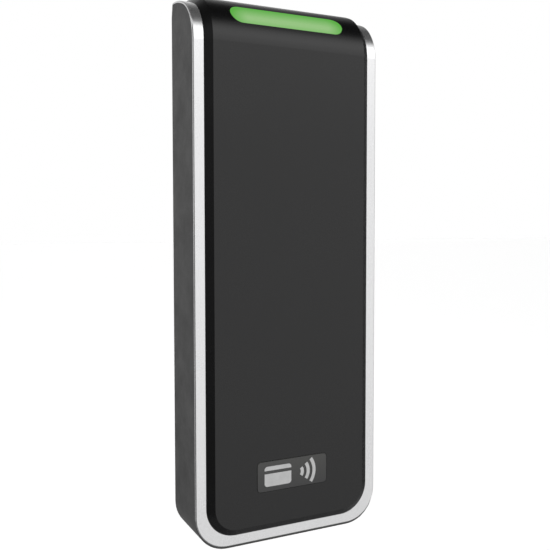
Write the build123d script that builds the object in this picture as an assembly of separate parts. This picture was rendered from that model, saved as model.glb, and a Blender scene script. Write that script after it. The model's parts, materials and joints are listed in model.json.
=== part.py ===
from build123d import *
from math import cos, radians, sin
import os

# Wall-mounted slim RFID card reader, millimetres, +Z up, its face looks along -Y.
# The wall is the plane y = 0. The origin is midway between the two box-screw holes.

# ---- driving dimensions ----------------------------------------------------
width = 45.0  # overall, X
height = 121.5  # overall, Z
body_depth = 14.3  # wall to the face of the silver band
cover_rise = 1.3  # the cover stands this far above the band
corner_r = 7.4  # outer bottom corners
band_side = 2.35  # visible band at each side
band_bottom = 2.8  # band and housing edge at the bottom
cover_corner_r = 6.8  # bottom corners of the cover
cover_chamfer = (1.3, 1.65)  # height and width of the cover's sloping rim
curl_r = 9.7  # tight arc at the top of the face
curl_angle = 24.0  # slope, in degrees, where the tight arc meets the gentle one

wall = 1.6  # housing side walls
rim_gap = 0.3  # housing rim to the wall
trim_edge = 0.45  # thickness of the band where it shows at the side
trim_rise = 0.55  # the band stops this far above the housing's bottom edge
trim_round = 0.2  # chamfer of the band's outer rim
trim_bed = 1.2  # depth of the bed that the band and the gasket lie in
ledge_depth = 0.3  # the cover's edge sinks this far below the band
lip = 1.0  # housing lip outside the bed
flange_t = 1.6  # front flange of the housing
window_inset = 2.05  # flange opening, in from the cover's edge
partition_rear = -4.0
partition_front = -5.4

plate_t = 1.8
plate_half = 20.4
plate_bottom, plate_top = -57.0, 54.4
box_spacing = 83.3  # single-gang box screws
box_hole_r = 2.1
bay_half = 15.8  # terminal bay and cable window, half width
bay_bottom, bay_top = -34.0, 2.0

pivot_y, pivot_z = -2.2, 55.0  # axis that the reader swings about
bead_r = 1.0
socket_r = 1.08
hook_x = 10.0
hook_width = 6.0
swing = 12.0  # degrees

screw_y = -4.2  # security screw, along Z
web_top, web_bottom = -57.3, -58.4
notch_half = 1.7
counterbore_half = 3.3

board_front, board_rear = -9.2, -8.0
board_half = 17.3
board_bottom, board_top = -50.4, 42.4
antenna_front, antenna_rear = -13.7, -12.9
post_points = [(x, z) for x in (-13.0, 13.0) for z in (-53.4, 45.5)]
board_screw_points = [(x, z) for x in (-14.5, 14.5) for z in (-46.5, 38.5)]

lens_length, lens_height = 27.5, 5.15
lens_tilt = 37.0  # degrees above the horizontal
led_x = (-10.5, -6.3, -2.1, 2.1, 6.3, 10.5)
led_board_r = 4.6  # radius at the LED board, on the lens's own direction
badge_width, badge_height, badge_z = 17.4, 6.8, -45.6
badge_proud = 0.12
way_count, way_pitch = 5, 2.5
plug_x = 7.7

half_w = width / 2
z_low = -height / 2
trim_top = height / 2 - cover_rise
gentle_r = curl_r + (body_depth - curl_r) / sin(radians(curl_angle))
curl_y = curl_r - body_depth
curl_z = trim_top - gentle_r + (gentle_r - curl_r) * cos(radians(curl_angle))
face_y = -body_depth - cover_rise

os.makedirs("parts", exist_ok=True)
made = {}


def keep(name, *shapes):
    """File one node, made of one solid or of a group of separate solids."""
    solids = [s for shape in shapes for s in shape.solids()]
    made[name] = solids[0] if len(solids) == 1 else Compound(children=solids)


# ---- shapes that the casing is cut from ------------------------------------
def slab(x, y, z):
    """Box between pairs of low and high limits."""
    size = [b - a for a, b in (x, y, z)]
    return Pos(*[(a + b) / 2 for a, b in (x, y, z)]) * Box(*size)


def column(sketch, y_low, y_high):
    """Extrude a sketch drawn in X and Z between two depths."""
    return Pos(0, y_high, 0) * extrude(Plane.XZ * sketch, y_high - y_low)


def rod(radius, x, z, y_low, y_high):
    return column(Pos(x, z) * Circle(radius), y_low, y_high)


def u_outline(side, bottom, radius):
    """U-shaped front outline, open upwards past the top, inset at the sides and bottom."""
    top = height
    full = Pos(0, (z_low + bottom + top) / 2) * Rectangle(width - 2 * side, top - z_low - bottom)
    low_corners = full.vertices().sort_by(Axis.Y)[:2]
    return fillet(low_corners, radius)


def case_outline(inset):
    """Outline parallel to the outer edge of the case."""
    return u_outline(inset, inset, corner_r - inset)


def cover_outline(inset=0.0):
    """Outline parallel to the edge of the cover."""
    return u_outline(band_side + inset, band_bottom + inset, cover_corner_r - inset)


def side_profile(offset):
    """Side view of the case, rolled back at the top, parallel to the band's face."""
    tight, gentle = curl_r + offset, gentle_r + offset
    front = -body_depth - offset
    top = trim_top + offset
    edges = [
        CenterArc((0, trim_top - gentle_r), gentle, 90, curl_angle),
        CenterArc((curl_y, curl_z), tight, 90 + curl_angle, 90 - curl_angle),
        Line((front, curl_z), (front, -height)),
        Line((front, -height), (0, -height)),
        Line((0, -height), (0, top)),
    ]
    return Plane.YZ * make_face(edges)


def rolled(offset, half=half_w + 5):
    """Everything behind the rolled surface at this offset."""
    return Pos(-half, 0, 0) * extrude(side_profile(offset), 2 * half)


def block(outline, offset):
    return column(outline, face_y - 5, 0) & rolled(offset)


def ring(outer, inner, top, bottom):
    """U-shaped band between two outlines and two rolled surfaces."""
    return block(outer, top) - column(inner, face_y - 6, 1) - rolled(bottom)


lens_plane = Plane(
    origin=(0, curl_y, curl_z),
    x_dir=(1, 0, 0),
    z_dir=(0, -cos(radians(lens_tilt)), sin(radians(lens_tilt))),
)


def lens_prism(length, height_, r_low, r_high):
    """Stadium prism standing along the lens's own direction, between two radii."""
    return extrude(lens_plane.offset(r_low) * SlotOverall(length, height_), r_high - r_low)


# The reader tips about the pivot, so its top rear edge is bevelled to clear the wall.
relief = (
    Pos(0, pivot_y, pivot_z) * Rot(swing, 0, 0)
    * Pos(0, -pivot_y - 0.1 + 10, 0) * Box(width + 10, 20, 40)
)


# ---- mounting plate --------------------------------------------------------
def mounting_plate():
    plate_z = (plate_bottom + plate_top) / 2
    face = Pos(0, plate_z) * RectangleRounded(2 * plate_half, plate_top - plate_bottom, 5)
    window_z = (bay_bottom + bay_top) / 2
    window = RectangleRounded(2 * bay_half, bay_top - bay_bottom, 2)
    body = column(face, -plate_t, 0)
    rib = RectangleRounded(2 * bay_half + 3, bay_top - bay_bottom + 3, 3.5)
    body += column(Pos(0, window_z) * rib, -plate_t - 0.9, -plate_t)
    body -= column(Pos(0, window_z) * window, -5, 1)
    for z in (-box_spacing / 2, box_spacing / 2):
        body -= rod(box_hole_r, 0, z, -5, 1)
    for x in (-14.5, 14.5):
        body -= column(Pos(x, 30) * SlotOverall(7, 3.6), -5, 1)
    body -= column(Pos(0, 20) * RectangleRounded(18, 20, 2), -5, 1)
    for x in (-hook_x, hook_x):
        span = (x - hook_width / 2, x + hook_width / 2)
        body += slab(span, (-plate_t, 0), (plate_top - 1, pivot_z))
        body += Pos(x, pivot_y, pivot_z) * Rot(0, 90, 0) * Cylinder(bead_r, hook_width)
    lug = slab((-4.2, 4.2), (-7.0, 0), (plate_bottom, -49.5))
    lug = fillet(lug.edges().filter_by(Axis.Z).group_by(Axis.Y)[0], 1.5)
    body += lug
    body -= Pos(0, screw_y, plate_bottom + 3) * Cylinder(2.32, 6.1)
    body -= Pos(0, screw_y, -52) * Cylinder(1.7, 6)
    return body


def screw_insert():
    body = Pos(0, screw_y, plate_bottom + 3) * Cylinder(2.3, 5.9)
    groove = Pos(0, screw_y, plate_bottom + 3) * (Cylinder(2.5, 0.8) - Cylinder(2.05, 0.8))
    return body - groove - Pos(0, screw_y, plate_bottom + 3) * Cylinder(1.55, 8)


keep("mounting_plate", mounting_plate())
keep("screw_insert", screw_insert())


# ---- security screw and its captive washer ---------------------------------
washer_top = web_bottom - 0.1
washer_t = 0.4
head_top = washer_top - washer_t


def along_screw(radius, z_bottom, z_top):
    return Pos(0, screw_y, (z_bottom + z_top) / 2) * Cylinder(radius, z_top - z_bottom)


def security_screw():
    head = along_screw(2.8, head_top - 1.7, head_top)
    head = fillet(head.edges().sort_by(Axis.Z)[0], 0.8)
    shank = along_screw(1.5, head_top, -51.2)
    shank = chamfer(shank.edges().sort_by(Axis.Z)[-1], 0.4)
    star = Circle(1.05)
    for lobe in range(6):
        star += Rot(0, 0, 60 * lobe) * Pos(1.05, 0) * Circle(0.35)
    star -= Circle(0.4)
    recess = Pos(0, screw_y, head_top - 1.8) * extrude(star, 1.2)
    return head + shank - recess


keep("retaining_washer", along_screw(3.1, head_top, washer_top) - along_screw(1.56, -70, -50))
keep("security_screw", security_screw())


# ---- rear housing ----------------------------------------------------------
def rear_housing():
    shell = block(case_outline(0), -trim_edge)
    shell -= ring(case_outline(lip), cover_outline(1.95), cover_rise, -trim_bed)
    shell -= column(cover_outline(1.9), face_y - 5, 1) - rolled(-ledge_depth - 0.05)
    inner = case_outline(wall)
    inner_top = -trim_bed - flange_t
    hollow = block(inner, inner_top)
    front_space = hollow & slab((-30, 30), (face_y, partition_front), (-70, 70))
    rear_space = hollow & slab((-30, 30), (partition_rear, 1), (-70, 70))
    opening = column(cover_outline(window_inset), face_y - 5, partition_front)
    opening &= slab((-30, 30), (-30, 0), (-70, 56.0))
    shell = shell - front_space - rear_space - opening
    shell -= lens_prism(lens_length + 2, lens_height + 2, 3.5, curl_r + 1)
    shell -= slab((-30, 30), (-rim_gap, 2), (-70, 70))

    # terminal bay, lug clearance and the sensor's peep hole in the partition
    bay_z = (bay_bottom + bay_top) / 2
    bay = RectangleRounded(2 * bay_half, bay_top - bay_bottom, 2)
    shell -= column(Pos(0, bay_z) * bay, partition_front - 1, partition_rear + 1)
    shell -= slab((-5.2, 5.2), (partition_front - 1, partition_rear + 1), (-59.15, -48.8))
    shell -= rod(1.8, 0, 20, partition_front - 1, partition_rear + 1)

    # screw posts for the cover, from the rear, and bosses for the board
    for x, z in post_points:
        shell += rod(3.0, x, z, -9.0, partition_front)
        shell -= rod(2.1, x, z, -4.7, partition_rear + 1)
        shell -= rod(1.2, x, z, -10, -4)
    for x, z in board_screw_points:
        shell += rod(2.3, x, z, board_rear, partition_front)
        shell -= rod(0.82, x, z, board_rear - 1, -4.6)

    # bottom web: the clamp screw's notch is open to the rear, so the reader tips free
    shell += slab((-5, 5), (-8.0, -rim_gap), (z_low + 0.5, web_top))
    for half, z_from, z_to in (
        (notch_half, web_bottom - 0.5, web_top + 0.5),
        (counterbore_half, z_low - 1, web_bottom),
    ):
        shell -= slab((-half, half), (screw_y, 1), (z_from, z_to))
        shell -= along_screw(half, z_from, z_to)

    # sockets that sit over the plate's beads
    for x in (-hook_x, hook_x):
        span = (x - hook_width / 2 - 1.2, x + hook_width / 2 + 1.2)
        shell += slab(span, (partition_rear, pivot_y), (53.4, 56.8))
        shell += slab(span, (partition_rear, pivot_y + 0.3), (pivot_z + 0.9, 56.8))
        shell -= Pos(x, pivot_y, pivot_z) * Rot(0, 90, 0) * Cylinder(socket_r, hook_width + 0.6)
    for x in (-18.6, 18.6):
        for z in (-24.0, -4.0, 16.0, 36.0):
            rib_y = (partition_front - 1.2, partition_front)
            shell += slab((x - 2.4, x + 2.4), rib_y, (z - 0.5, z + 0.5))
    return shell - relief


keep("rear_housing", rear_housing())


# ---- silver band, gasket and cover -----------------------------------------
def rim_chamfer(shape, on_face, down_side):
    """Slope the outer rim of the front face; it carries on round the tangent edges."""
    front = shape.faces().sort_by(Axis.Y)[0]
    side_edge = front.edges().filter_by(Axis.Z).sort_by(Axis.X)[0]
    return chamfer(side_edge, on_face, down_side, reference=front)


def trim_frame():
    # thin at the outer edge, thicker where it beds in the housing, with a ledge inside
    outline = u_outline(0, trim_rise, corner_r)
    face = rim_chamfer(block(outline, 0), trim_round, trim_round)
    face = face - column(cover_outline(), face_y - 6, 1) - rolled(-trim_edge)
    bed = ring(case_outline(lip + 0.02), cover_outline(1.05), -ledge_depth, -trim_bed)
    bed -= column(cover_outline(-0.01), face_y - 6, 1) - rolled(-ledge_depth)
    return face + bed - relief


def cover_gasket():
    return ring(cover_outline(1.07), cover_outline(1.87), -ledge_depth, -trim_bed) - relief


def front_cover():
    rise, run = cover_chamfer
    blank = rim_chamfer(block(cover_outline(), cover_rise), run, rise)
    cover = blank - rolled(-ledge_depth)
    rib = ring(cover_outline(2.2), cover_outline(3.2), -ledge_depth + 0.2, -3.4)
    cover += rib & slab((-30, 30), (-30, 0), (-70, 49.0))
    for x, z in post_points:
        cover += rod(2.2, x, z, -body_depth + 0.1, -9.0)
        cover -= rod(1.02, x, z, -12.6, -8)
    cover -= lens_prism(lens_length, lens_height, curl_r - 3, curl_r + 4)
    badge = RectangleRounded(badge_width + 0.1, badge_height + 0.1, 0.95)
    cover -= column(Pos(0, badge_z) * badge, face_y - 1, face_y + 0.6)
    return cover - relief


keep("trim_frame", trim_frame())
keep("cover_gasket", cover_gasket())
keep("front_cover", front_cover())


# ---- light bar -------------------------------------------------------------
def light_bar_lens():
    bar = lens_prism(lens_length - 0.1, lens_height - 0.1, curl_r - 2, curl_r + 3)
    lens = (bar & rolled(cover_rise)) - rolled(-ledge_depth)
    foot = lens_prism(lens_length + 1.6, lens_height + 1.6, curl_r - 2.4, curl_r + 1)
    foot = (foot & rolled(-ledge_depth)) - rolled(-0.9)
    return lens + foot


def light_guide():
    guide = lens_prism(lens_length - 1.5, 3.6, 5.7, 8.6)
    return guide - [lens_prism(2.4, 1.6, 5.0, 6.2).moved(Location((x, 0, 0))) for x in led_x]


def status_leds():
    plane = lens_plane.offset(led_board_r + 0.8)
    return [extrude(plane * Pos(x, 0) * Rectangle(1.6, 0.9), 0.6) for x in led_x]


keep("light_bar_lens", light_bar_lens())
keep("light_guide", light_guide())
keep("led_board", extrude(lens_plane.offset(led_board_r) * RectangleRounded(29, 6.6, 0.8), 0.8))
keep("status_leds", *status_leds())


# ---- badge -----------------------------------------------------------------
def badge_plate():
    plate = column(
        Pos(0, badge_z) * RectangleRounded(badge_width, badge_height, 0.9),
        face_y - badge_proud,
        face_y + 0.6,
    )
    return chamfer(plate.faces().sort_by(Axis.Y)[0].edges(), 0.1)


def badge_mark():
    """A blank striped card with three waves beside it."""
    y_low, y_high = face_y - badge_proud - 0.08, face_y - badge_proud
    card = RectangleRounded(6.6, 4.5, 0.7) - Pos(0, 0.95) * Rectangle(7, 0.7)
    shapes = [column(Pos(-3.7, badge_z) * card, y_low, y_high)]
    for radius in (1.5, 3.0, 4.5):
        wave = trace(CenterArc((0, 0), radius, -36, 72), 0.8)
        shapes.append(column(Pos(0.9, badge_z) * wave, y_low, y_high))
    return shapes


keep("badge_plate", badge_plate())
keep("badge_mark", *badge_mark())


# ---- antenna ---------------------------------------------------------------
antenna_half, antenna_bottom, antenna_top = 16.2, -50.6, 40.4
coil_turns, coil_pitch, trace_w = 5, 1.1, 0.6


def board(half, low, high, radius, y_low, y_high):
    face = Pos(0, (low + high) / 2) * RectangleRounded(2 * half, high - low, radius)
    return column(face, y_low, y_high)


def antenna_board():
    body = board(antenna_half, antenna_bottom, antenna_top, 2, antenna_front, antenna_rear)
    for x in antenna_pin_x:
        body -= rod(0.42, x, antenna_pin_z, -15, -12)
    return body


antenna_pin_x = [-3.8, -1.3, 1.2, 3.7]
antenna_pin_z = 24.0


def antenna_coil():
    """One square spiral trace from the outer turn to the inner one."""
    face = Sketch() + [
        Pos((a[0] + b[0]) / 2, (a[1] + b[1]) / 2)
        * Rectangle(abs(a[0] - b[0]) + trace_w, abs(a[1] - b[1]) + trace_w)
        for a, b in spiral_runs()
    ]
    return column(face, antenna_front - 0.1, antenna_front)


def spiral_runs():
    """Straight runs of a square spiral, as pairs of end points."""
    runs = []
    for turn in range(coil_turns):
        inset = 1.2 + turn * coil_pitch
        left, right = -antenna_half + inset, antenna_half - inset
        low, high = antenna_bottom + inset, antenna_top - inset
        corners = [(left, high), (left, low), (right, low), (right, high - coil_pitch)]
        corners.append((left + coil_pitch, high - coil_pitch))
        if turn == coil_turns - 1:
            corners.pop()
        runs += list(zip(corners, corners[1:]))
    return runs


keep("antenna_board", antenna_board())
keep("antenna_coil", antenna_coil())
keep("antenna_pins", *[rod(0.4, x, antenna_pin_z, -13.9, -8.7) for x in antenna_pin_x])
ferrite = board(11.0, -44.0, 33.5, 1, antenna_rear, antenna_rear + 0.4)
for x in antenna_pin_x:
    ferrite -= rod(0.9, x, antenna_pin_z, -14, -12)
keep("ferrite_sheet", ferrite)


# ---- main board and what it carries ----------------------------------------
def chip(x, z, size_x, size_z, tall, edge=0.15):
    body = slab((x - size_x / 2, x + size_x / 2), (board_front - tall, board_front),
                (z - size_z / 2, z + size_z / 2))
    return chamfer(body.faces().sort_by(Axis.Y)[0].edges(), edge)


def quad_chip(x, z, size, tall, legs):
    """Square chip with a row of legs on each side, as one body and its legs."""
    shapes = [chip(x, z, size, size, tall)]
    step = (size - 1.2) / (legs - 1)
    for turn in range(4):
        for leg in range(legs):
            along = -(size - 1.2) / 2 + leg * step
            across, up = (size / 2, size / 2 + 0.7), (along - 0.12, along + 0.12)
            foot = slab(across, (board_front - 0.2, board_front), up)
            shapes.append(Pos(x, 0, z) * Rot(0, 90 * turn, 0) * foot)
    return shapes


def main_board():
    body = board(board_half, board_bottom, board_top, 1.5, board_front, board_rear)
    for x, z in board_screw_points:
        body -= rod(1.15, x, z, -12, -6)
    for x in antenna_pin_x:
        body -= rod(0.42, x, antenna_pin_z, -12, -6)
    for x, z in header_pin_points:
        body -= rod(0.52, x, z, -12, -6)
    return body


header_low, header_high = -8.0, 0.0
header_pin_z = -1.6
header_pin_points = [
    (side * plug_x + (way - (way_count - 1) / 2) * way_pitch, header_pin_z)
    for side in (-1, 1)
    for way in range(way_count)
]
capacitor_points = [(10.5, -40.0), (10.5, -33.5), (-11.8, 31.0)]
passive_points = [
    (x, z)
    for x, z_from, count in ((-13.6, 4, 6), (-0.8, -24, 5), (14.6, 8, 7), (6.2, 32, 3), (-6.5, 30, 3))
    for z in [z_from - 2.3 * i for i in range(count)]
]

keep("main_board", main_board())
keep("controller_chip", *quad_chip(4.5, -8.0, 7.0, 1.4, 12))
keep("radio_chip", *quad_chip(-5.5, 12.0, 5.0, 0.9, 8))
keep("memory_chip", *[chip(-7.5, -17.5, 4.0, 5.0, 1.5)])
regulator_tab = slab((1.4, 5.6), (board_front - 0.3, board_front), (-44.3, -42.9))
keep("voltage_regulator", chip(3.5, -40.0, 6.2, 5.8, 2.2, 0.25), regulator_tab)
keep("capacitors", *[chip(x, z, 4.3, 2.8, 1.9, 0.25) for x, z in capacitor_points])
keep("crystal", chip(10.8, 0.5, 3.2, 2.5, 0.8), chip(-1.0, 19.0, 3.2, 2.5, 0.8))
power_coil = rod(2.6, 10.0, -24.0, board_front - 2.0, board_front)
keep("inductor", power_coil & chip(10.0, -24.0, 5.0, 5.0, 2.0, 0.3))
passive = slab((-0.8, 0.8), (board_front - 0.5, board_front), (-0.45, 0.45))
keep("small_components", *[Pos(x, 0, z) * passive for x, z in passive_points])


def sounder():
    body = rod(4.6, -7.2, -35.5, board_front - 2.4, board_front)
    body = fillet(body.edges().sort_by(Axis.Y)[0], 0.5)
    return body - rod(0.9, -7.2, -35.5, board_front - 3, board_front - 1.4)


def tamper_sensor():
    body = slab((-1.6, 1.6), (board_rear, board_rear + 1.1), (19.0, 21.0))
    return body - rod(0.45, -0.75, 20, board_rear + 0.8, 0) - rod(0.45, 0.75, 20, board_rear + 0.8, 0)


keep("sounder", sounder())
keep("tamper_sensor", tamper_sensor())


# ---- terminal headers and their pull-off plugs ------------------------------
header_rear = board_rear + 5.4
plug_play = 0.1
plug_y = (board_rear + plug_play, header_rear - plug_play)
nose_top, plug_shoulder, plug_end = header_high - 2.6, header_low - 0.3, header_low - 8.2
way_x = [(way - (way_count - 1) / 2) * way_pitch for way in range(way_count)]


def header_shroud(x):
    body = slab((x - 6.9, x + 6.9), (board_rear, header_rear), (header_low, header_high))
    mouth_y, mouth_z = (board_rear + 0.6, header_rear - 0.6), (header_low - 1, nose_top + 0.2)
    body -= slab((x - 6.3, x + 6.3), mouth_y, mouth_z)
    for dx in way_x:
        body -= slab((x + dx - 0.46, x + dx + 0.46), (-5.76, -4.84), (-4, 1))
        body -= rod(0.5, x + dx, header_pin_z, board_rear - 1, -5)
    for dx in (-4.0, 4.0):
        latch = (x + dx - 0.8, x + dx + 0.8)
        body -= slab(latch, (header_rear - 0.7, header_rear + 1), (header_low - 1, header_low + 3))
    return body


def header_pins(x):
    """Bent pins: one leg in the plug, the other through the board."""
    pins = []
    for dx in way_x:
        blade_x, tail_x = (x + dx - 0.4, x + dx + 0.4), (x + dx - 0.35, x + dx + 0.35)
        blade = slab(blade_x, (-5.7, -4.9), (header_low + 0.6, header_pin_z + 0.4))
        tail_z = (header_pin_z - 0.35, header_pin_z + 0.35)
        tail = slab(tail_x, (board_front - 0.6, -4.9), tail_z)
        pins.append(blade + tail)
    return pins


def plug_body(x):
    nose = slab((x - 6.2, x + 6.2), (board_rear + 0.7, header_rear - 0.7), (plug_shoulder - 0.5, nose_top))
    body = slab((x - 6.8, x + 6.8), plug_y, (plug_end, plug_shoulder))
    body = chamfer(body.edges().filter_by(Axis.X).group_by(Axis.Z)[0], 0.6) + nose
    for dx in way_x:
        body -= slab((x + dx - 0.6, x + dx + 0.6), (-5.9, -4.7), (plug_shoulder - 0.9, nose_top + 1))
        body -= slab((x + dx - 0.85, x + dx + 0.85), (-6.6, -4.4), (plug_end - 1, plug_end + 6.2))
        body -= rod(1.0, x + dx, plug_screw_z, -5.0, header_rear + 1)
    return body


plug_screw_z = plug_end + 3.4


def plug_screws(x):
    """Slotted screws that bear down on the clamps."""
    screws = []
    for dx in way_x:
        screw = rod(0.95, x + dx, plug_screw_z, -4.9, header_rear - 0.5)
        screws.append(screw - slab((x + dx - 0.15, x + dx + 0.15), (header_rear - 0.9, 0), (-20, 0)))
    return screws


def plug_clamps(x):
    """Square cage round each wire way."""
    cages = []
    for dx in way_x:
        cage = slab((x + dx - 0.8, x + dx + 0.8), (-6.5, -4.95), (plug_end + 1.2, plug_end + 5.6))
        cages.append(cage - slab((x + dx - 0.5, x + dx + 0.5), (-6.1, -5.35), (-30, 0)))
    return cages


for side, x in (("left", -plug_x), ("right", plug_x)):
    keep(f"{side}_header", header_shroud(x))
    keep(f"{side}_plug", plug_body(x))
    keep(f"{side}_plug_screws", *plug_screws(x))
    keep(f"{side}_plug_clamps", *plug_clamps(x))
keep("header_pins", *header_pins(-plug_x), *header_pins(plug_x))


# ---- fasteners and label ---------------------------------------------------
def cross_slots(x, z, y_low, y_high, reach):
    return slab((x - reach, x + reach), (y_low, y_high), (z - 0.2, z + 0.2)) + slab(
        (x - 0.2, x + 0.2), (y_low, y_high), (z - reach, z + reach)
    )


def board_screw(x, z):
    head = rod(1.9, x, z, board_front - 1.2, board_front)
    head = fillet(head.edges().sort_by(Axis.Y)[0], 0.5)
    body = head + rod(0.8, x, z, board_front, -5.2)
    return body - cross_slots(x, z, board_front - 2, board_front - 0.6, 1.0)


def cover_screw(x, z):
    body = rod(1.9, x, z, -4.7, partition_rear) + rod(1.0, x, z, -12.2, -4.7)
    return body - cross_slots(x, z, partition_rear - 0.45, 0, 1.2)


keep("board_screws", *[board_screw(x, z) for x, z in board_screw_points])
keep("cover_screws", *[cover_screw(x, z) for x, z in post_points])
label = column(Pos(0, 36) * RectangleRounded(22, 11, 1), partition_rear, partition_rear + 0.08)
keep("rear_label", label)

for name, shape in made.items():
    export_step(shape, f"parts/{name}.step")
    print(name, round(shape.volume, 1))
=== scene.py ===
import json
from math import cos, pi, radians, sin

import bpy
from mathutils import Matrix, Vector


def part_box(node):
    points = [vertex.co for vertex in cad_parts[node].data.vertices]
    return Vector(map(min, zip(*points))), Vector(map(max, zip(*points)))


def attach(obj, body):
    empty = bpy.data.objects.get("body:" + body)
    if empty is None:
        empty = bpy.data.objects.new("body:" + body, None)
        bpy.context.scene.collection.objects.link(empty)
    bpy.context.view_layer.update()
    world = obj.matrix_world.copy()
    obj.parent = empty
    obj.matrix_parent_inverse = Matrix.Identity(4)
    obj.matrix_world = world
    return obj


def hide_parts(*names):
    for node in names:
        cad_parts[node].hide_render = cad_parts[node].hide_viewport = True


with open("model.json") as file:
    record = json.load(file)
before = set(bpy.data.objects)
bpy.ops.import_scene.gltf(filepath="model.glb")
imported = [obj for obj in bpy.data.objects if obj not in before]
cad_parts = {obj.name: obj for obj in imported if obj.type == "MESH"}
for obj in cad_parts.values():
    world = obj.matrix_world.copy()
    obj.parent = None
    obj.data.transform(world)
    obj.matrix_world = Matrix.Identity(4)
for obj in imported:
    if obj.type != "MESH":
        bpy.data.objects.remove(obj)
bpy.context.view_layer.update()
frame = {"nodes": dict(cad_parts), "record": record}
mm = 0.001
nodes = frame["nodes"]
print("frame loaded,", len(nodes), "nodes")


class Wire:  # one socket, with arithmetic
    def __init__(self, graph, socket):
        self.graph, self.socket = graph, socket

    def sum(self, kind, *others):
        return self.graph.add("ShaderNodeMath", {"operation": kind}, dict(enumerate((self,) + others)))

    def flip(self, kind, other):
        return self.graph.add("ShaderNodeMath", {"operation": kind}, {0: other, 1: self})

    def __add__(self, other):
        return self.sum("ADD", other)

    def __radd__(self, other):
        return self.flip("ADD", other)

    def __sub__(self, other):
        return self.sum("SUBTRACT", other)

    def __rsub__(self, other):
        return self.flip("SUBTRACT", other)

    def __mul__(self, other):
        return self.sum("MULTIPLY", other)

    def __rmul__(self, other):
        return self.flip("MULTIPLY", other)

    def __truediv__(self, other):
        return self.sum("DIVIDE", other)

    def __abs__(self):
        return self.sum("ABSOLUTE")

    def __pow__(self, other):
        return self.sum("POWER", other)

    def clamp(self):
        return self.sum("MINIMUM", 1.0).sum("MAXIMUM", 0.0)

    def above(self, level, soft):  # 0 below the level, 1 above it, with a soft step
        return ((self - (level - soft)) / (2 * soft)).clamp()


class Finish:  # one material and its node tree
    def __init__(self, name, tree=None):
        if tree is None:
            self.material = bpy.data.materials.new(name)
            self.material.use_nodes = True
            tree = self.material.node_tree
        self.tree = tree
        self.shader = tree.nodes.get("Principled BSDF")

    def add(self, kind, settings=None, inputs=None, out=0):
        node = self.tree.nodes.new(kind)
        for key, value in (settings or {}).items():
            if key == "stops":
                ramp = node.color_ramp
                while len(ramp.elements) < len(value):
                    ramp.elements.new(0.5)
                for element, (place, tone) in zip(ramp.elements, value):
                    element.position = place
                    element.color = (tone, tone, tone, 1)
            else:
                setattr(node, key, value)
        for key, value in (inputs or {}).items():
            self.feed(node.inputs[key], value)
        return Wire(self, node.outputs[out])

    def feed(self, socket, value):
        if isinstance(value, Wire):
            self.tree.links.new(value.socket, socket)
        else:
            socket.default_value = value

    def place(self, scale=(1, 1, 1)):  # object coordinates, in millimetres
        where = self.add("ShaderNodeTexCoord", out=3)
        size = tuple(1000 * s for s in scale)
        return self.add("ShaderNodeMapping", None, {"Vector": where, "Scale": size})

    def axes(self):
        parts = self.add("ShaderNodeSeparateXYZ", None, {0: self.place()})
        node = parts.socket.node
        return [Wire(self, node.outputs[i]) for i in range(3)]

    def noise(self, perMm, detail=3.0, rough=0.55, scale=(1, 1, 1)):
        inputs = {"Vector": self.place(scale), "Scale": perMm, "Detail": detail, "Roughness": rough}
        return self.add("ShaderNodeTexNoise", None, inputs)

    def cells(self, perMm, feature="F1", out=0, scale=(1, 1, 1)):
        inputs = {"Vector": self.place(scale), "Scale": perMm}
        return self.add("ShaderNodeTexVoronoi", {"feature": feature}, inputs, out)

    def mix(self, share, low, high):
        sockets = {0: share, 6: (*low, 1) if isinstance(low, tuple) else low,
                   7: (*high, 1) if isinstance(high, tuple) else high}
        return self.add("ShaderNodeMix", {"data_type": "RGBA"}, sockets, 2)

    def double(self, color):
        return self.add("ShaderNodeVectorMath", {"operation": "SCALE"}, {0: color, "Scale": 2.0})

    def bump(self, height, depthMm, below=None):
        inputs = {"Height": height, "Distance": depthMm * mm, "Strength": 1.0}
        if below is not None:
            inputs["Normal"] = below
        return self.add("ShaderNodeBump", None, inputs)

    def surface(self, **sockets):  # names with _ for a space
        for key, value in sockets.items():
            if isinstance(value, tuple):
                value = (*value, 1)
            self.feed(self.shader.inputs[key.replace("_", " ")], value)
        return self.material


def grey(level):
    return (level, level, level)


# finishes, each with its colours and sizes in a dictionary beside it
housingLook = {"dark": grey(0.027), "light": grey(0.055), "grainPerMm": 0.8, "depth": 0.04}


def housingPlastic():
    f = Finish("housingPlastic")
    blobs = f.noise(housingLook["grainPerMm"], 5.0, 0.62)
    fine = f.noise(4.5, 4.0, 0.6)
    patches = f.noise(0.16, 3.0, 0.6)
    grain = blobs * 0.6 + fine * 0.4
    tone = (grain * 1.1 + patches * 1.5 - 0.85).clamp()
    color = f.mix(tone, housingLook["dark"], housingLook["light"])
    rough = 0.58 - tone * 0.12
    return f.surface(Base_Color=color, Roughness=rough, Normal=f.bump(grain, housingLook["depth"]))


coverLook = {"black": (0.0022, 0.0022, 0.0024), "worn": (0.004, 0.004, 0.0042), "rough": 0.2}


def coverPlastic():
    f = Finish("coverPlastic")
    haze = f.noise(0.05, 3.0, 0.6)
    grain = f.noise(9.0, 2.0, 0.5)
    color = f.mix((haze - 0.3) * 1.6, coverLook["black"], coverLook["worn"])
    rough = coverLook["rough"] + haze * 0.08 + grain * 0.05
    return f.surface(Base_Color=color, Roughness=rough, Normal=f.bump(grain, 0.004))


silverLook = {"base": (0.84, 0.84, 0.845), "shade": (0.72, 0.72, 0.73), "rough": 0.17}


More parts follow.
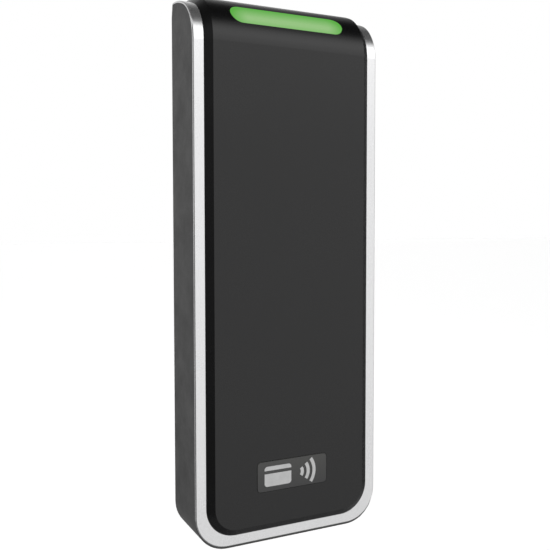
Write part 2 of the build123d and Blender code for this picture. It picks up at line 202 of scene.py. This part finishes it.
def silverPaint():
    f = Finish("silverPaint")
    flakes = f.cells(14.0, "F1", 1)
    flake = f.add("ShaderNodeSeparateXYZ", None, {0: flakes})
    broad = f.noise(0.12, 2.0, 0.5)
    color = f.mix(flake * 0.35 + (broad - 0.4) * 0.3, silverLook["base"], silverLook["shade"])
    rough = silverLook["rough"] + flake * 0.08 + broad * 0.05
    return f.surface(Base_Color=color, Roughness=rough, Metallic=0.9, Normal=f.bump(flake, 0.0015))


lensLook = {"core": (0.3, 0.53, 0.22), "rim": (0.1, 0.4, 0.055), "glow": 1.0, "lift": 0.12,
            "straightMm": 9.5, "endMm": 5.0, "coreFrom": 0.1, "fade": 0.75}


def greenLens():
    f = Finish("greenLens")
    x, y, z = f.axes()
    low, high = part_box("light_bar_lens")
    midZ, halfZ = (low[2] + high[2]) / 2 / mm, (high[2] - low[2]) / 2 / mm
    across = abs(z - (midZ + lensLook["lift"] * halfZ)) / halfZ
    ends = (abs(x) - lensLook["straightMm"]).sum("MAXIMUM", 0.0) / lensLook["endMm"]
    reach = (across * across + ends * ends) ** 0.5
    grain = f.noise(2.5, 2.0, 0.5)
    core = 1.0 - ((reach - lensLook["coreFrom"]) / lensLook["fade"]).clamp()
    color = f.mix(core * (0.9 + grain * 0.2), lensLook["rim"], lensLook["core"])
    return f.surface(Base_Color=(0.01, 0.03, 0.008), Roughness=0.2 + grain * 0.1, Emission_Color=color,
                     Emission_Strength=lensLook["glow"], Normal=f.bump(grain, 0.003))


def moulded(name, dark, light, rough=0.45, perMm=3.0, depth=0.02):  # plain moulded plastic
    f = Finish(name)
    fine, broad = f.noise(perMm, 3.0, 0.6), f.noise(perMm * 0.08, 2.0, 0.5)
    tone = (fine * 0.5 + broad * 0.8 - 0.3).clamp()
    color = f.mix(tone, dark, light)
    return f.surface(Base_Color=color, Roughness=rough + fine * 0.12, Normal=f.bump(fine, depth))


def metal(name, dark, light, rough=0.28, brush=(0.3, 0.3, 6.0)):  # drawn, turned or plated metal
    f = Finish(name)
    lines = f.noise(3.0, 3.0, 0.6, brush)
    spots = f.noise(0.6, 3.0, 0.6)
    color = f.mix((spots * 1.4 - 0.3).clamp(), dark, light)
    rough = rough + lines * 0.15 + spots * 0.06
    return f.surface(Base_Color=color, Metallic=1.0, Roughness=rough, Normal=f.bump(lines, 0.006))


boardLook = {"mask": (0.007, 0.075, 0.032), "track": (0.013, 0.12, 0.05), "gold": (0.62, 0.5, 0.28),
             "blockMm": (4.3, 5.9), "trackMm": 0.9, "viaShare": 0.28,
             "uprightShare": 0.5, "bareShare": 0.78, "trackHalf": 0.2, "viaSize": 0.07, "sharp": 0.00001,
             "weavePerMm": 9.0}


def circuitBoard():
    f = Finish("circuitBoard")
    x, y, z = f.axes()
    wide, tall = boardLook["blockMm"]
    block = f.add("ShaderNodeCombineXYZ", None, {0: (x / wide).sum("FLOOR"), 1: (z / tall).sum("FLOOR")})
    chance = f.add("ShaderNodeTexWhiteNoise", {"noise_dimensions": "2D"}, {"Vector": block})
    upright, bare = (chance.above(boardLook[share], boardLook["sharp"])
                     for share in ("uprightShare", "bareShare"))
    along = upright * x + (1.0 - upright) * z
    cross = upright * z + (1.0 - upright) * x
    line = abs((along / boardLook["trackMm"]).sum("FRACT") - 0.5)
    track = (1.0 - line.above(boardLook["trackHalf"], 0.04)) * (1.0 - bare)
    spot = abs((cross / (tall / 2)).sum("FRACT") - 0.5) * (tall / 2 / boardLook["trackMm"])
    hole = f.add("ShaderNodeCombineXYZ", None, {0: (along / boardLook["trackMm"]).sum("FLOOR"),
                                                1: (cross / (tall / 2)).sum("FLOOR")})
    pick = f.add("ShaderNodeTexWhiteNoise", {"noise_dimensions": "2D"}, {"Vector": hole})
    drilled = 1.0 - pick.above(boardLook["viaShare"], boardLook["sharp"])
    dot = 1.0 - (line * line + spot * spot).above(boardLook["viaSize"], 0.01)
    via = dot * (1.0 - bare) * drilled
    weave = (x * boardLook["weavePerMm"]).sum("SINE") * (z * boardLook["weavePerMm"]).sum("SINE")
    color = f.mix(via, f.mix(track, boardLook["mask"], boardLook["track"]), boardLook["gold"])
    return f.surface(Base_Color=color, Metallic=via * 0.8, Roughness=0.32 + weave * 0.03,
                     Normal=f.bump(track + via * 0.5 + weave * 0.05, 0.03))


def labelPaper():
    f = Finish("labelPaper")
    fibre = f.noise(4.0, 4.0, 0.7, (1, 1, 2.5))
    color = f.mix(fibre, (0.7, 0.7, 0.67), (0.86, 0.86, 0.84))
    return f.surface(Base_Color=color, Roughness=0.55 + fibre * 0.15, Normal=f.bump(fibre, 0.01))


badgeLook = {"bottom": (0.055, 0.055, 0.056), "top": (0.082, 0.082, 0.079)}


def badgeGrey():
    f = Finish("badgeGrey")
    brush = f.noise(2.0, 3.0, 0.6, (0.15, 1, 6))
    low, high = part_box("badge_plate")
    x, y, z = f.axes()
    # the plate's colour runs from the darker bottom tone up to the lighter top tone
    rise = ((z - low[2] / mm) / ((high[2] - low[2]) / mm)).clamp()
    color = f.mix(rise * 0.8 + brush * 0.2, badgeLook["bottom"], badgeLook["top"])
    rough = 0.32 + brush * 0.1
    return f.surface(Base_Color=color, Roughness=rough, Metallic=0.6, Normal=f.bump(brush, 0.004))


finishes = {
    "housing_plastic": housingPlastic,
    "cover_plastic": coverPlastic,
    "silver_band": silverPaint,
    "green_lens": greenLens,
    "circuit_board": circuitBoard,
    "label_paper": labelPaper,
    "badge_grey": badgeGrey,
    "plate_plastic": lambda: moulded("platePlastic", grey(0.03), grey(0.055), 0.5, 2.2, 0.05),
    "clear_guide": lambda: moulded("clearGuide", (0.5, 0.6, 0.5), (0.75, 0.85, 0.75), 0.15, 1.0, 0.004),
    "gasket_rubber": lambda: moulded("gasketRubber", grey(0.012), grey(0.03), 0.7, 4.0, 0.03),
    "ferrite": lambda: moulded("ferriteGrey", grey(0.03), grey(0.07), 0.6, 5.0, 0.02),
    "chip_black": lambda: moulded("chipBlack", grey(0.012), grey(0.03), 0.42, 8.0, 0.01),
    "capacitor_tan": lambda: moulded("capacitorTan", (0.42, 0.24, 0.04), (0.6, 0.38, 0.09), 0.35, 4.0, 0.01),
    "component_beige": lambda: moulded("componentBeige", (0.35, 0.26, 0.17), (0.55, 0.45, 0.33),
                                       0.4, 6.0, 0.01),
    "led_body": lambda: moulded("ledBody", (0.5, 0.7, 0.45), (0.8, 0.95, 0.7), 0.2, 3.0, 0.005),
    "terminal_green": lambda: moulded("terminalGreen", (0.01, 0.13, 0.035), (0.02, 0.2, 0.06),
                                      0.38, 4.0, 0.015),
    "copper": lambda: metal("copperTrace", (0.55, 0.25, 0.13), (0.75, 0.42, 0.26), 0.3),
    "contact_metal": lambda: metal("tinnedMetal", grey(0.5), grey(0.68), 0.25),
    "steel": lambda: metal("platedSteel", grey(0.4), grey(0.58), 0.28, (3.0, 3.0, 0.4)),
    "brass": lambda: metal("turnedBrass", (0.45, 0.3, 0.1), (0.68, 0.5, 0.22), 0.25, (0.4, 0.4, 6.0)),
    "badge_silver": lambda: metal("badgeSilver", grey(0.55), grey(0.72), 0.25, (0.3, 1, 4)),
}

finished = {}
for row in frame["record"]["subparts"]:
    slotName = row["material_slot"]
    if slotName not in finished:
        finished[slotName] = finishes[slotName]()
    node = nodes[row["node"]]
    node.data.materials.clear()
    node.data.materials.append(finished[slotName])
print("finishes made:", len(finished))


def start(kind, name, **shape):  # new mesh at the origin, left in edit mode
    bpy.ops.object.select_all(action="DESELECT")
    getattr(bpy.ops.mesh, f"primitive_{kind}_add")(enter_editmode=True, **shape)
    bpy.context.object.name = name
    return bpy.context.object


def shift(x, y, z):
    bpy.ops.transform.translate(value=(x * mm, y * mm, z * mm))


def stretch(x, y, z):
    bpy.ops.transform.resize(value=(x, y, z), center_override=(0, 0, 0))


def done(obj, slotName, body, *hides):
    if obj.mode == "EDIT":
        bpy.ops.object.mode_set(mode="OBJECT")
    obj.data.materials.clear()
    obj.data.materials.append(finished[slotName])
    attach(obj, body)
    if hides:
        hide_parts(*hides)
    print(obj.name, len(obj.data.polygons), "faces")


def apply(obj, kind, **settings):
    modifier = obj.modifiers.new(kind.lower(), kind)
    for key, value in settings.items():
        setattr(modifier, key, value)
    bpy.ops.object.modifier_apply(modifier=modifier.name)


def merge(first, *others):
    bpy.ops.object.select_all(action="DESELECT")
    for obj in (first,) + others:
        obj.select_set(True)
    bpy.context.view_layer.objects.active = first
    bpy.ops.object.join()
    return first


screwSize = {"y": -4.2, "headTop": -58.9, "headHigh": 1.7, "headR": 2.8, "tip": -51.2, "coreR": 1.22,
             "crestR": 1.49, "pitch": 0.5, "lobeR": 0.35, "starR": 1.05, "starDeep": 1.1,
             "headRound": 0.45, "tipRound": 0.3, "toothR": 0.22, "plainEnds": 0.8}


def threadedScrew():  # the clamp screw, with a real thread and a six-lobe recess
    w = screwSize
    y, low = w["y"], w["headTop"] - w["headHigh"]
    head = start("cylinder", "threadedScrew", vertices=64, radius=w["headR"] * mm, depth=w["headHigh"] * mm)
    shift(0, y, low + w["headHigh"] / 2)
    bpy.ops.object.mode_set(mode="OBJECT")
    apply(head, "BEVEL", width=w["headRound"] * mm, segments=4, limit_method="ANGLE", angle_limit=radians(60))
    cutters = []
    for lobe in range(7):
        angle = radians(60 * lobe)
        radius = w["lobeR"] if lobe < 6 else w["starR"]
        reach = w["starR"] if lobe < 6 else 0.0
        cutter = start("cylinder", "starCutter", vertices=32, radius=radius * mm,
                       depth=2 * w["starDeep"] * mm)
        shift(reach * cos(angle), y + reach * sin(angle), low)
        bpy.ops.object.mode_set(mode="OBJECT")
        cutters.append(cutter)
    for cutter in cutters:
        bpy.context.view_layer.objects.active = head
        apply(head, "BOOLEAN", operation="DIFFERENCE", object=cutter, solver="EXACT")
        bpy.data.objects.remove(cutter)
    high = w["tip"] - w["headTop"]
    core = start("cylinder", "screwCore", vertices=40, radius=w["coreR"] * mm, depth=high * mm)
    shift(0, y, w["headTop"] + high / 2)
    bpy.ops.object.mode_set(mode="OBJECT")
    apply(core, "BEVEL", width=w["tipRound"] * mm, segments=2, limit_method="ANGLE", angle_limit=radians(60))
    # one flat tooth section, swept up the shank
    tooth = start("circle", "screwThread", vertices=6, radius=w["toothR"] * mm, fill_type="NGON")
    bpy.ops.transform.rotate(value=pi / 2, orient_axis="X", center_override=(0, 0, 0))
    stretch(1.0, 1.0, 0.75)
    shift(w["crestR"] - w["toothR"], 0, 0)
    bpy.ops.object.mode_set(mode="OBJECT")
    turns = int((high - w["plainEnds"]) / w["pitch"])
    apply(tooth, "SCREW", axis="Z", angle=2 * pi, screw_offset=w["pitch"] * mm, iterations=turns,
          steps=32, render_steps=32, use_merge_vertices=True)
    bpy.ops.object.mode_set(mode="EDIT")
    bpy.ops.mesh.select_all(action="SELECT")
    shift(0, y, w["headTop"] + w["plainEnds"] / 2)
    bpy.ops.mesh.normals_make_consistent(inside=False)
    bpy.ops.object.mode_set(mode="OBJECT")
    screw = merge(head, core, tooth)
    bpy.ops.object.shade_smooth_by_angle(angle=radians(35))
    done(screw, "steel", "screw", "security_screw")


labelSize = {"top": 40.4, "left": -9.6, "right": 9.6, "line": 0.55, "gap": 1.15, "thick": 0.03, "rear": -3.92,
             "rows": (0.9, 0.62, 0.78, 0.5), "codeDrop": 5.3, "codeTall": 3.2, "codeRuns": 4,
             "codeGap": 0.16, "wordGap": 0.35,
             "code": (0.3, 0.15, 0.45, 0.15, 0.15, 0.3, 0.15, 0.45, 0.3, 0.15)}


def labelPrint():  # blank text lines and a row of bars, with no letters
    w = labelSize
    bars = []
    for row, share in enumerate(w["rows"]):
        x, count = w["left"], 0
        end = w["left"] + share * (w["right"] - w["left"])
        while x < end:
            word = 0.9 + 0.7 * ((row * 3 + count * 5) % 4)
            bars.append((x, min(x + word, end), w["top"] - row * w["gap"], w["line"]))
            x, count = x + word + w["wordGap"], count + 1
    x = w["left"]
    for run in range(w["codeRuns"]):
        for wide in w["code"]:
            bars.append((x, x + wide, w["top"] - w["codeDrop"], w["codeTall"]))
            x += wide + w["codeGap"]
    made = []
    for low, high, top, tall in bars:
        bar = start("cube", "labelBar", size=mm)
        stretch(high - low, w["thick"], tall)
        shift((low + high) / 2, w["rear"] + w["thick"] / 2, top - tall / 2)
        bpy.ops.object.mode_set(mode="OBJECT")
        made.append(bar)
    ink = merge(*made)
    ink.name = "labelPrint"
    done(ink, "cover_plastic", "reader")


threadedScrew()
labelPrint()


view = {"place": (-75.76, -165.34, 10.73), "turn": 26.76, "pitch": 2.77, "lens": 49.52,
        "shift": (-0.03, -0.03), "sensor": 36, "nearest": 0.005}


def addCamera():
    data = bpy.data.cameras.new("camera")
    data.lens, data.sensor_width = view["lens"], view["sensor"]
    data.shift_x, data.shift_y = view["shift"]
    data.clip_start = view["nearest"]
    camera = bpy.data.objects.new("camera", data)
    camera.location = [v * mm for v in view["place"]]
    camera.rotation_euler = (radians(90 - view["pitch"]), 0, radians(-view["turn"]))
    bpy.context.collection.objects.link(camera)
    bpy.context.scene.camera = camera


# brightness of the studio round the reader: up from the front horizon, over the top, to the back;
# down from the horizon; and round from the front, where 0 is straight ahead and 1 is behind
studio = {
    "over": [(0.0, 0.95), (0.05, 1.0), (0.09, 1.12), (0.14, 1.65), (0.21, 1.75), (0.27, 1.35), (0.34, 0.12),
             (0.39, 0.03), (0.58, 0.03), (0.68, 0.16), (0.78, 0.5), (0.88, 0.95), (1.0, 1.1)],
    "under": [(0.0, 1.0), (0.12, 0.85), (0.3, 0.3), (0.5, 0.12), (0.8, 0.5), (1.0, 0.8)],
    "right": [(0.0, 1.0), (0.25, 1.0), (0.35, 0.08), (0.75, 0.08), (0.85, 1.0)],
    "left": [(0.0, 1.0), (0.12, 1.0), (0.24, 0.16), (0.6, 0.16), (0.75, 0.55), (1.0, 0.8)],
    "topEnd": 0.75,
}


def addStudio():
    world = bpy.data.worlds.new("studio")
    world.use_nodes = True
    bpy.context.scene.world = world
    f = Finish("", world.node_tree)
    where = f.add("ShaderNodeTexCoord")
    parts = f.add("ShaderNodeSeparateXYZ", None, {0: where}).socket.node
    x, y, z = [Wire(f, parts.outputs[i]) for i in range(3)]

    def ramp(name, along):
        return f.add("ShaderNodeValToRGB", {"stops": [(p, v / 2) for p, v in studio[name]]}, {0: along})

    front = y * -1.0
    over = ramp("over", z.sum("MAXIMUM", 0.0).sum("ARCTAN2", front) / pi)
    under = ramp("under", (z * -1.0).sum("MAXIMUM", 0.0).sum("ARCTAN2", front) / pi)
    right = ramp("right", x.sum("MAXIMUM", 0.0).sum("ARCTAN2", front) / pi)
    left = ramp("left", (x * -1.0).sum("MAXIMUM", 0.0).sum("ARCTAN2", front) / pi)
    lift = f.mix(z.above(0.0, 0.01), under, over)
    turn = f.mix(x.above(0.0, 0.01), left, right)
    level = 1.0 - (abs(z) / studio["topEnd"]).clamp()  # the walls matter near the horizon, not overhead
    both = f.add("ShaderNodeMix", {"data_type": "RGBA", "blend_type": "MULTIPLY"},
                 {0: (level * 3.0).clamp(), 6: lift, 7: f.double(turn)}, 2)
    seen = f.add("ShaderNodeLightPath")
    glow = f.mix(seen, both, (0.5, 0.5, 0.5))  # the backdrop itself is plain white
    back = world.node_tree.nodes["Background"]
    f.feed(back.inputs["Color"], glow)
    back.inputs["Strength"].default_value = 2.0


def addLight(name, place, aim, size, watts):
    data = bpy.data.lights.new(name, "AREA")
    data.energy, data.shape, data.size, data.size_y = watts, "RECTANGLE", *size
    light = bpy.data.objects.new(name, data)
    light.location = place
    light.rotation_euler = (Vector(aim) - Vector(place)).to_track_quat("-Z", "Y").to_euler()
    bpy.context.collection.objects.link(light)


floorLook = {"wide": 12, "height": -0.16, "glow": 0.65, "rough": 0.9}


def addFloor():
    bpy.ops.object.select_all(action="DESELECT")
    bpy.ops.mesh.primitive_plane_add(size=floorLook["wide"], location=(0, 0, floorLook["height"]))
    floor = bpy.context.object
    floor.name = "floor"
    f = Finish("floorPaper")
    cloud = f.noise(0.01, 2.0, 0.5)
    f.surface(Base_Color=f.mix(cloud, grey(0.93), grey(0.96)), Roughness=floorLook["rough"],
              Emission_Color=grey(1.0), Emission_Strength=floorLook["glow"])
    floor.data.materials.append(f.material)
    floor.visible_glossy = False


keyLight = {"place": (-0.85, 0.2, 0.5), "aim": (0, 0, 0), "size": (0.6, 0.6), "watts": 1.75}

addCamera()
addStudio()
addFloor()
addLight("keyLight", **keyLight)
bpy.context.scene.view_settings.view_transform = "Standard"
print("camera, studio and floor made")
